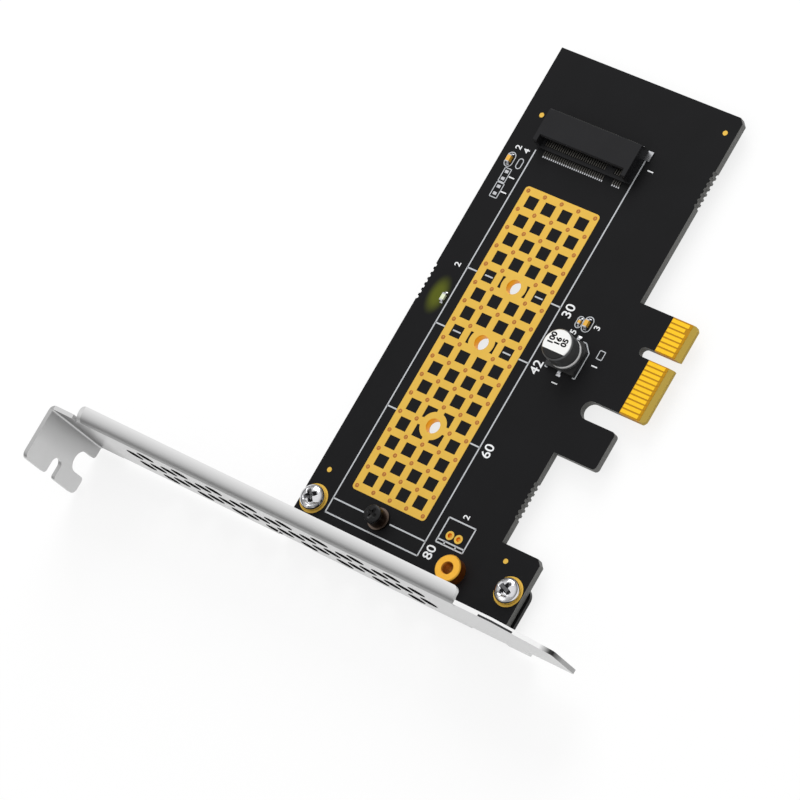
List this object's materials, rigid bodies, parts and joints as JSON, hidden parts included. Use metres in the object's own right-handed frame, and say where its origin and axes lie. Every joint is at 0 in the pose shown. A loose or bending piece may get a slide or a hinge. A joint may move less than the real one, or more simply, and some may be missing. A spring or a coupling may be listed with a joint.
{
  "type": "nvme adapter card",
  "caption": "Flat adapter board with a socket and screw seats for one storage module, a short card-edge connector and a vented full-height bracket.",
  "frame": {"origin": "centre of the key notch in the contact tongue, at the tongue's tip and the middle of the board's thickness", "axes": "+Y from the contacts to the board's top edge and the bracket's tab, +Z out of the component side, +X away from the bracket; the card lies flat, component side up"},
  "size_m": [0.1169, 0.12, 0.02],
  "materials": {
    "solder_mask": "matt black solder mask",
    "gold": "bright gold plate",
    "gold_soft": "satin gold plate",
    "tin": "tinned",
    "socket_plastic": "black moulded",
    "pin_gold": "gold flash",
    "bronze": "dull bronze",
    "black_screw": "black",
    "brass": "turned",
    "sheet_steel": "satin nickel plate",
    "chrome": "bright plate",
    "can_aluminium": "grey sleeve, white top",
    "base_plastic": "black",
    "ceramic": "tan ceramic",
    "led_resin": "clear resin"
  },
  "bodies": {
    "root": {"circuit_board": "solder_mask", "edge_contacts_front": "gold", "edge_contacts_back": "gold", "heat_grid": "gold_soft", "screw_pads": "gold_soft", "header_pads": "gold_soft", "fiducial_pads": "gold_soft", "empty_site_pads": "tin", "socket_housing": "socket_plastic", "socket_lower_pins": "pin_gold", "socket_upper_pins": "pin_gold", "socket_solder_tabs": "tin", "module_standoff": "bronze", "module_screw": "black_screw", "brass_standoff": "brass", "io_bracket": "sheet_steel", "bracket_screws": "chrome", "capacitor_can": "can_aluminium", "capacitor_base": "base_plastic", "capacitor_leads": "tin", "ceramic_capacitor_bodies": "ceramic", "ceramic_capacitor_ends": "tin", "status_led_body": "led_resin", "status_led_ends": "tin"}
  },
  "joints": []
}
